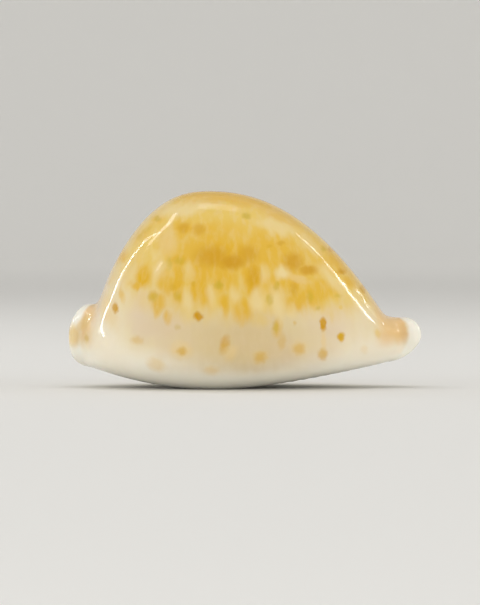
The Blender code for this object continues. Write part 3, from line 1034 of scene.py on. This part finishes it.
DEPTHS = TintLayer(Tint.DEEP, Edge.CRUMBLY, 0.15, (
    (-7.4, 30, 3.6, 2.2, 0.7), (-3, 28.8, 3, 1.6, 0.9), (0.6, 30.4, 2.2, 2, 0.6),
    (10.8, 28.7, 2.1, 1.8, 0.8, -25), (14.1, 26.9, 1.9, 1, 0.85), (1.9, 25.4, 1.4, 2.4, 0.5),
    (-10.4, 16.7, 1, 1.1, 1, 0, 0.4), (17.4, 14.9, 0.7, 1.5, 1, 0, 0.4), (-10.4, 36, 1.4, 1.2, 0.5),
    (10.9, 22.8, 0.8, 1.4, 0.5), (-29.1, 18.4, 0.6, 1.1, 0.9, 0, 0.5), (-4.6, 10.8, 0.9, 1.5, 0.65, -20),
    (-13.8, 36.4, 1.2, 1, 0.5), (8, 32.9, 0.9, 0.5, 0.5), (21.7, 26.4, 1.2, 0.8, 1, 0, 0.4, -7, 7),
    (26.6, 22.5, 0.8, 1, 1, 0, 0.4, -5, 6), (19.4, 31.3, 0.7, 0.6, 1, 0, 0.5, -4, 6),
))
FLECKS = TintLayer(Tint.ORANGE, Edge.CRUMBLY, 0.1, (
    (21.5, 11.9, 0.8, 1.1, 1, 0, 0.45), (12, 9.4, 1.2, 1.2, 0.55), (17.4, 8.1, 1, 1.2, 0.7),
    (3.3, 7.5, 1.3, 1.2, 0.6), (-14.1, 8.9, 0.9, 0.9, 0.65), (-24.1, 11.3, 1.3, 0.9, 0.4),
    (8.2, 11, 0.8, 1.6, 0.35, -12), (-4.6, 9.6, 0.9, 1.4, 0.4, -30), (-11.6, 23.9, 0.5, 0.5, 0.6),
    (-16.1, 23.2, 0.6, 0.8, 0.5), (5.4, 32.3, 0.6, 0.4, 0.5), (11.1, 15.1, 0.4, 0.5, 0.4),
))
SMUDGES = TintLayer(Tint.OLIVE, Edge.CRUMBLY, 0.15, (
    (-5.9, 23.6, 0.95, 0.85, 0.65), (0.3, 39, 0.85, 0.7, 0.65),
    (17.7, 31.5, 0.7, 0.7, 0.85, 0, 0.65, -7, 5), (-20.6, 21, 1, 1, 0.5), (5.5, 20.4, 0.7, 1.1, 0.5),
    (14.5, 21, 0.7, 1.2, 0.4), (-19.7, 38.4, 0.6, 0.7, 0.6), (-14.6, 29, 1.2, 0.9, 0.45),
    (-15, 21.2, 0.8, 1.1, 0.4), (6.9, 14.2, 0.7, 1.3, 0.55), (-22, 35.8, 1.5, 0.6, 0.45, 35, 0.65, -6, 6),
    (-16.9, 28.4, 0.6, 1.4, 0.4), (-35.8, 11.3, 0.5, 0.9, 0.5), (7, 23.4, 0.6, 0.9, 0.5),
    (20.8, 21, 1, 0.5, 0.5, 0, 0.65, -14, 8), (16.3, 18.4, 0.6, 0.5, 0.5), (-15, 14.3, 0.6, 0.6, 0.35),
    (-23.6, 34, 1, 1, 0.4, 35, 0.65, -6, 6),
))
BLUSH = TintLayer(Tint.PEACH, Edge.CRUMBLY, 0.1, (
    (-14.2, 9.1, 2.2, 1.7, 0.6), (-19.8, 5.8, 1.9, 1.4, 0.55, -25), (-7.5, 4.5, 1.5, 1.1, 0.6),
    (-3.2, 8.4, 1.2, 1.8, 0.5, -30), (17.5, 11.3, 0.6, 2.6, 0.5), (3.3, 7.5, 1.8, 1.7, 0.35),
    (12, 9.4, 1.8, 1.8, 0.35), (-18.6, 41, 2.4, 1, 0.5, 35), (26.8, 9, 0.8, 0.9, 0.3),
    (-17.4, 33.4, 2, 3, 0.6), (11.9, 24.9, 2.2, 0.8, 0.6, -15), (-31, 18, 1.6, 4.5, 0.5, 24),
    (-18.8, 27, 2, 2.2, 0.35),
))
GAPS = TintLayer(Tint.PALE, Edge.CLOUDY, 0.1, (
    (8.4, 26.6, 1.4, 1.4, 0.9), (-13, 40.8, 6, 1.6, 0.7, 14), (7.2, 36.6, 4.6, 1.5, 0.6, -12),
    (-19.4, 27.4, 1, 2, 0.7), (-12.4, 26.4, 1, 2.2, 0.4), (4.6, 26.6, 1, 2, 0.4),
    (7.4, 19.6, 1.3, 3.2, 0.75, 8), (3, 20.4, 1.6, 2.6, 0.75, -8), (-7.4, 21, 0.9, 2.2, 0.6),
    (14.4, 32.6, 3, 1.2, 0.5, -35), (-20.4, 30.4, 1.2, 1.2, 0.4), (-12.6, 20.4, 1, 2.6, 0.6),
    (-2.4, 21.4, 0.9, 2, 0.5), (10.2, 18.2, 1.2, 1.6, 0.4), (19.6, 24.6, 4.6, 1.5, 0.6, -46),
))
TIP_BLUSH = TintLayer(Tint.PEACH, Edge.CLEAN, 0.0, (
    (-38.8, 11.9, 1.6, 2.4, 0.85, 0, 0.5), (-36.9, 14.4, 3, 1, 0.7, 48, 0.5),
))


# From the lowest to the highest layer: first the painted shade and the painted glare, then the shell's own
# marks.
LAYERS_WITH_PAINTED_LIGHT = (PAINTED_SHADE, PAINTED_GLARE, VEIL, CLOUD, GAPS, BLUSH, DEPTHS, FLECKS, SMUDGES)


class Places:
    """A point of the shell in the ways that its finish reads it, in millimetres."""

    def __init__(self, make: NodeMaker, finish: "Porcelain") -> None:
        """Adds the nodes that read the point.

        Over the ridge the side view's drawing goes on, but it drifts away with the distance
        from the ridge, so that the far side differs.

        Args:
            make: The material's node maker.
            finish: The finish, with the sizes of the drift.
        """
        place = make.signal("ShaderNodeTexCoord", output="Object")
        self.solid = make.vector_math("MULTIPLY", place, (1 / MM, 1 / MM, 1 / MM))
        parts = make.node("ShaderNodeSeparateXYZ", {}, {0: self.solid})
        self.x, self.z = (Signal(make, parts.outputs[name]) for name in "XZ")
        self.down = make.stored(Field.DOWN)
        far = self.down.step(0.0, finish.drift_start)
        _, drift = make.noise(self.solid, finish.drift_size, detail=0.0)
        drift = make.vector_math("MULTIPLY", drift, (1.0, 0.0, 1.0))
        straight = make.vector(self.x + far * finish.far_shift, self.down, self.z)
        self.seen = make.moved(straight, drift, far * finish.drift_amount)


@dataclass(frozen=True)
class Neck:
    """A tan band beside a waist, in millimetres from the waist towards the body."""

    waist: Field
    start: float
    end: float
    strength: float


@dataclass(frozen=True)
class Porcelain:
    """Glossy enamel over cream, with an ochre cloud on the back, scattered spots, and patches of painted
    shade and painted light.
    """

    cream: Colour = srgb(236, 220, 180)
    rose: Colour = srgb(232, 212, 182)
    ivory: Colour = srgb(254, 249, 234)
    white: Colour = srgb(248, 244, 230)
    tan: Colour = srgb(236, 196, 134)
    crest_stroke: Colour = srgb(226, 178, 44)
    roughness: float = 0.06
    sheen_change: float = 0.06
    sheen_size: float = 9.0
    ior: float = 1.52
    translucence: float = 0.12
    glow_depth: float = 2.0
    glow_colour: Colour = (1.0, 0.7, 0.4)
    bump_height: float = 0.05
    bump_size: float = 3.0
    drift_start: float = 14.0
    drift_size: float = 13.0
    drift_amount: float = 15.0
    far_shift: float = 4.0
    rose_size: float = 11.0
    rose_share: Span = (0.35, 0.68)
    # The ivory foot is partly the base's own paler colour and partly painted light on the low margin, which
    # the floor shades.
    foot_height: Span = (9.0, 2.5)
    foot_unevenness: float = 3.0
    foot_fall: float = 0.09
    drawn_out: float = 0.4
    billow_size: float = 7.0
    billow: float = 2.4
    drip_size: float = 2.2
    drip: tuple[float, float, float] = (1.2, 0.0, 3.6)
    crumb_size: float = 1.3
    crumb: float = 0.9
    grain_size: float = 1.6
    grain_share: Span = (0.42, 0.7)
    unmarked_height: Span = (2.0, 5.0)
    stroke_lumps: float = 4.0
    stroke_side: Span = (13.0, 7.0)
    stroke_side_unevenness: float = 6.0
    stroke_end_unevenness: float = 12.0
    stroke_back_end: Span = (-17.0, -9.0)
    stroke_front_end: Span = (38.0, 32.0)
    stroke_strong_until: Span = (18.0, 2.0)
    stroke_strength: float = 0.45
    stroke_more: float = 0.4
    neck_lumps: float = 3.0
    neck_unevenness: float = 2.0
    necks: tuple[Neck, ...] = (Neck(Field.FRONT_WAIST, -1.2, 7.0, 0.85),
                               Neck(Field.BACK_WAIST, -3.2, 3.0, 0.75))
    neck_lift: Span = (-0.45, 0.1)
    neck_start_blur: Span = (-1.0, 0.6)
    neck_end_blur: float = 4.0
    rim_width: Span = (3.4, 2.2)
    rim_share_of_wander: float = 0.5
    lip_lift: Span = (-0.55, -0.98)
    lip_ivory: float = 0.7
    tooth_share: Span = (0.1, 0.8)
    tooth_white: float = 0.8
    inside_share: Span = (0.4, 1.0)

    def build(self) -> bpy.types.Material:
        """Makes the material.

        Returns:
            A node-based finish that reads Object coordinates and the shell's stored values.
        """
        material, make, surface = new_finish("shell_porcelain")
        at = Places(make, self)
        colour = self.ends(make, at, self.marks_and_painted_light(make, at, self.ground(make, at)))
        sheen, _ = make.noise(at.solid, self.sheen_size, detail=3.0)
        lumps, _ = make.noise(at.solid, self.bump_size, detail=1.0)
        bump = make.signal("ShaderNodeBump", {}, {
            "Height": lumps, "Distance": self.bump_height * MM, "Strength": 1.0})
        for name, value in (("Base Color", colour), ("Normal", bump),
                            ("Roughness", self.roughness + sheen * self.sheen_change)):
            make.tree.links.new(value.socket, surface[name])
        surface["IOR"].default_value = self.ior
        surface["Subsurface Weight"].default_value = self.translucence
        surface["Subsurface Scale"].default_value = self.glow_depth * MM
        surface["Subsurface Radius"].default_value = self.glow_colour
        return material

    def ground(self, make: NodeMaker, at: Places) -> Signal:
        """Cream that clouds towards rose, and ivory towards the base, which is partly the base's own paler
        colour and partly painted light on the low margin that the floor shades.

        Args:
            make: The material's node maker.
            at: The point of the shell.

        Returns:
            The colour under all marks, painted shade and painted glare.
        """
        clouds, _ = make.noise(at.solid, self.rose_size, detail=3.0)
        ground = make.mix(clouds.step(*self.rose_share), self.cream, self.rose)
        height = at.z + (clouds - 0.5) * self.foot_unevenness - abs(at.x) * self.foot_fall
        return make.mix(height.step(*self.foot_height), ground, self.ivory)

    def marks_and_painted_light(self, make: NodeMaker, at: Places, colour: Signal) -> Signal:
        """Painted shade and painted glare, the ochre cloud with its soft drips, the scattered spots and the
        stroke on the crest.

        Args:
            make: The material's node maker.
            at: The point of the shell.
            colour: The colour under the marks.

        Returns:
            The colour with the marks, the painted shade and the painted glare laid over it.
        """
        drawn_out = make.vector(at.x, 0.0, at.down * self.drawn_out)
        _, billow = make.noise(at.solid, self.billow_size, detail=1.0)
        _, drip = make.noise(drawn_out, self.drip_size)
        _, crumb = make.noise(at.solid, self.crumb_size, detail=1.0)
        grain, _ = make.noise(drawn_out, self.grain_size, detail=3.0)
        worn = grain.step(*self.grain_share)
        billowing = make.moved(at.seen, billow, self.billow)
        where = {Edge.CLOUDY: make.moved(billowing, make.vector_math("MULTIPLY", drip, self.drip), 1.0),
                 Edge.CRUMBLY: make.moved(at.seen, crumb, self.crumb)}
        marked = at.z.step(*self.unmarked_height)
        # Each layer in turn: painted shade, painted glare, then the shell's own marks.
        for tint_layer in LAYERS_WITH_PAINTED_LIGHT:
            mask = self.cover(make, where[tint_layer.edge], tint_layer.marks)
            mask = mask * (1.0 - worn * tint_layer.broken)
            colour = make.mix(mask * marked, colour, tint_layer.tint.value)
        wander, _ = make.noise(at.solid, self.stroke_lumps)
        side = abs(at.down) + (wander - 0.5) * self.stroke_side_unevenness
        along = at.x + (wander - 0.5) * self.stroke_end_unevenness
        stroke = side.step(*self.stroke_side)
        stroke = stroke * along.step(*self.stroke_back_end) * along.step(*self.stroke_front_end)
        strength = self.stroke_strength + along.step(*self.stroke_strong_until) * self.stroke_more
        return make.mix(stroke * strength, colour, self.crest_stroke)

    @staticmethod
    def cover(make: NodeMaker, place: Signal, marks: list[Mark]) -> Signal:
        """Where any of the marks covers the ground.

        Args:
            make: The material's node maker.
            place: Places in the side view in millimetres, with their edges roughened.
            marks: The marks of one tint.

        Returns:
            A mask from 0 to 1.
        """
        covered = None
        for mark in marks:
            reach = 1.0 + mark.softness
            halves = (mark.half_length, mark.half_across, mark.half_height)
            local = make.signal("ShaderNodeMapping", {"vector_type": "TEXTURE"}, {
                "Vector": place, "Location": (mark.x, mark.from_ridge, mark.z),
                "Rotation": (0.0, -math.radians(mark.tilt), 0.0),
                "Scale": tuple(half * reach for half in halves)})
            near = make.signal("ShaderNodeTexGradient", {"gradient_type": "SPHERICAL"}, {0: local}, "Fac")
            one = near.step(0.0, 2.0 * mark.softness / reach, mark.strength)
            covered = one if covered is None else covered.function("MAXIMUM", one)
        return covered

    def ends(self, make: NodeMaker, at: Places, colour: Signal) -> Signal:
        """Tan necks, white rims and whitened lips.

        Args:
            make: The material's node maker.
            at: The point of the shell.
            colour: The colour of the body.

        Returns:
            The finished colour.
        """
        lift = make.stored(Field.LIFT)
        wander, _ = make.noise(at.solid, self.neck_lumps)
        wander = (wander - 0.5) * self.neck_unevenness
        above = lift.step(*self.neck_lift)
        for neck in self.necks:
            gap = make.stored(neck.waist) + wander
            band = gap.step(*(neck.start + blur for blur in self.neck_start_blur))
            band = band * gap.step(neck.end, neck.end - self.neck_end_blur)
            colour = make.mix(band * above * neck.strength, colour, self.tan)
        rim = make.stored(Field.RIM) + wander * self.rim_share_of_wander
        colour = make.mix(rim.step(*self.rim_width), colour, self.white)
        colour = make.mix(self.cover(make, at.seen, TIP_BLUSH.marks), colour, TIP_BLUSH.tint.value)
        colour = make.mix(lift.step(*self.lip_lift) * self.lip_ivory, colour, self.ivory)
        teeth = make.stored(Field.TOOTH_WEIGHT).step(*self.tooth_share)
        colour = make.mix(teeth * self.tooth_white, colour, self.white)
        return make.mix(make.stored(Field.INSIDE).step(*self.inside_share), colour, self.rose)


@dataclass(frozen=True)
class Direction:
    """A direction seen from the shell, in degrees: azimuth 0 is the camera's side, 90 the front end's."""

    azimuth: float
    elevation: float

    def at(self, distance: float) -> Vector:
        """The point that far out in this direction."""
        turn, rise = math.radians(self.azimuth), math.radians(self.elevation)
        flat = distance * math.cos(rise)
        return Vector((math.sin(turn) * flat, -math.cos(turn) * flat, math.sin(rise) * distance))


@dataclass(frozen=True)
class StripLamp:
    """A narrow soft lamp that runs from one direction to another, facing the shell."""

    name: str
    start: Span
    end: Span
    width: float
    radiance: float
    distance: float = 1.0
    in_gloss: bool = True

    def build(self, target: Vector) -> bpy.types.Object:
        """Makes the lamp.

        Args:
            target: The point that it faces.

        Returns:
            The lamp's object.
        """
        first, last = (target + Direction(*way).at(self.distance) for way in (self.start, self.end))
        run = last - first
        centre = (first + last) / 2
        light = bpy.data.lights.new(self.name, "AREA")
        light.shape = "RECTANGLE"
        light.size = run.length
        light.size_y = self.width
        light.energy = self.radiance * math.pi * run.length * self.width
        lamp = placed(self.name, light)
        facing = (centre - target).normalized()
        along = (run - facing * run.dot(facing)).normalized()
        across = facing.cross(along)
        turn = lamp.matrix_world.to_3x3()
        turn.col[0], turn.col[1], turn.col[2] = along, across, facing
        lamp.matrix_world = turn.to_4x4()
        lamp.location = centre
        lamp.visible_camera = False
        lamp.visible_glossy = self.in_gloss
        return lamp


@dataclass(frozen=True)
class Studio:
    """A round pale floor that sweeps up into a wall, and soft light from all round."""

    floor_colour: Colour = srgb(236, 235, 232)
    air_colour: Colour = (1.0, 0.99, 0.97)
    air_strength: float = 0.62
    paper_roughness: float = 0.9
    paper_gloss: float = 0.2
    mottle_size: float = 0.5
    mottle_shade: float = 0.97
    inner_radii: Span = (0.4, 1.2)
    floor_radius: float = 2.2
    sweep_radius: float = 0.9
    sweep_steps: int = 13
    wall_height: float = 1.4
    sides: int = 96
    target: Vector = field(default_factory=lambda: Vector((0.0, 0.0, 0.02)))
    wall_target: Vector = field(default_factory=lambda: Vector((0.0, 2.7, 0.15)))
    wall_lamp: StripLamp = StripLamp("wall lamp", (-60, 35), (60, 35), 0.8, 0.45, 1.6, False)
    lamps: tuple[StripLamp, ...] = (
        StripLamp("left low edge", (-100, -3), (-129, 22), 0.013, 26.0),
        StripLamp("left high edge", (-130, 22), (-126, 36), 0.013, 22.0),
        StripLamp("left shoulder", (-126, 36), (-115, 52), 0.012, 10.0),
        StripLamp("left crown", (-120, 57), (-140, 55), 0.08, 3.2),
        StripLamp("left glow", (-112, 42), (-122, 58), 0.09, 3.4),
        StripLamp("left soft edge", (-110, 2), (-129, 26), 0.07, 2.0),
        StripLamp("left window", (-62, 41), (-60, 47), 0.05, 3.4),
        StripLamp("right soft edge", (124, 38), (99, 27), 0.07, 2.2),
        StripLamp("right high edge", (137, 44), (123, 37), 0.011, 14.0),
        StripLamp("right low edge", (124, 36), (97, 26), 0.015, 17.0),
        StripLamp("right short edge", (138, 25), (126, 28), 0.009, 10.0),
        StripLamp("right foot", (120, 20), (116, 20), 0.02, 10.0),
        StripLamp("crest lamp", (-168, 64), (160, 64), 0.17, 0.9),
        StripLamp("left fill", (-82, 10), (-40, 10), 0.7, 1.7, 1.2, False),
        StripLamp("right fill", (40, 8), (82, 8), 0.7, 2.1, 1.2, False),
        StripLamp("front fill", (-30, 5), (30, 5), 0.5, 1.3, 1.2, False),
        StripLamp("top fill", (-90, 72), (90, 72), 0.8, 0.8, 1.2, False),
    )

    def floor(self) -> bpy.types.Object:
        """The floor and its sweep, as one turned sheet.

        Returns:
            The floor's object.
        """
        bend = np.radians(np.linspace(0.0, 90.0, self.sweep_steps))
        radius = np.concatenate([self.inner_radii, self.floor_radius + self.sweep_radius * np.sin(bend),
                                 [self.floor_radius + self.sweep_radius]])
        height = np.concatenate([[0.0, 0.0], self.sweep_radius * (1.0 - np.cos(bend)),
                                 [self.sweep_radius + self.wall_height]])
        turn = np.linspace(0.0, 2.0 * np.pi, self.sides, endpoint=False)
        rings = np.stack([np.outer(radius, np.cos(turn)), np.outer(radius, np.sin(turn)),
                          np.repeat(height[:, None], self.sides, axis=1)], axis=-1)
        number = np.arange(len(radius) * self.sides).reshape(len(radius), self.sides) + 1
        ahead = np.roll(number, -1, axis=1)
        quads = np.stack([number[:-1], number[1:], ahead[1:], ahead[:-1]], axis=-1).reshape(-1, 4)
        middle = [(0, int(a), int(b)) for a, b in zip(number[0], ahead[0])]
        points = [(0.0, 0.0, 0.0), *map(tuple, rings.reshape(-1, 3).tolist())]
        mesh = bpy.data.meshes.new("studio floor")
        mesh.from_pydata(points, [], middle + [tuple(q) for q in quads.tolist()])
        mesh.shade_smooth()
        mesh.materials.append(self.floor_finish())
        floor = placed(mesh.name, mesh)
        return floor

    def floor_finish(self) -> bpy.types.Material:
        """A matt pale paper with a faint mottle.

        Returns:
            The floor's material.
        """
        material, make, surface = new_finish("studio paper")
        mottle, _ = make.noise(make.signal("ShaderNodeTexCoord", output="Object"), self.mottle_size)
        darker = tuple(c * self.mottle_shade for c in self.floor_colour)
        colour = make.mix(mottle, self.floor_colour, darker)
        make.tree.links.new(colour.socket, surface["Base Color"])
        surface["Roughness"].default_value = self.paper_roughness
        surface["Specular IOR Level"].default_value = self.paper_gloss
        return material

    def air(self) -> None:
        """Even pale light from all round."""
        world = bpy.data.worlds.new("studio air")
        world.use_nodes = True
        background = world.node_tree.nodes["Background"]
        background.inputs["Color"].default_value = (*self.air_colour, 1.0)
        background.inputs["Strength"].default_value = self.air_strength
        bpy.context.scene.world = world

    def build(self) -> None:
        """Makes the floor, the air and the lamps."""
        self.floor()
        self.air()
        for lamp in self.lamps:
            lamp.build(self.target)
        self.wall_lamp.build(self.wall_target)
        LOG.info("studio: %d lamps", len(self.lamps))


@dataclass(frozen=True)
class Viewpoint:
    """The camera: a long lens at the side of the outer lip, a little above the floor."""

    aim: tuple[float, float, float] = (-0.00114, 0.0, 0.01926)
    frame_height: float = 0.1379
    distance: float = 1.0
    direction: Direction = Direction(0.0, 1.2)
    sensor: float = 36.0
    sight: Span = (0.05, 50.0)

    def build(self) -> bpy.types.Object:
        """Makes the camera and hands it to the scene.

        Returns:
            The camera's object.
        """
        bpy.context.scene.view_settings.view_transform = "Standard"
        data = bpy.data.cameras.new("side view")
        data.sensor_width = self.sensor
        data.lens = self.sensor * self.distance / self.frame_height
        data.clip_start, data.clip_end = self.sight
        camera = placed(data.name, data)
        back = self.direction.at(self.distance)
        camera.location = Vector(self.aim) + back
        camera.rotation_euler = (-back).to_track_quat("-Z", "Y").to_euler()
        bpy.context.scene.camera = camera
        LOG.info("camera: lens %.0f mm", data.lens)
        return camera


def main() -> None:
    """Builds the shell and the studio round it."""
    logging.basicConfig(level=logging.INFO, format="%(name)s %(message)s")
    Viewpoint().build()
    finish = Porcelain().build()
    ShellBody().build(finish)
    Studio().build()


if __name__ == "__main__":
    main()
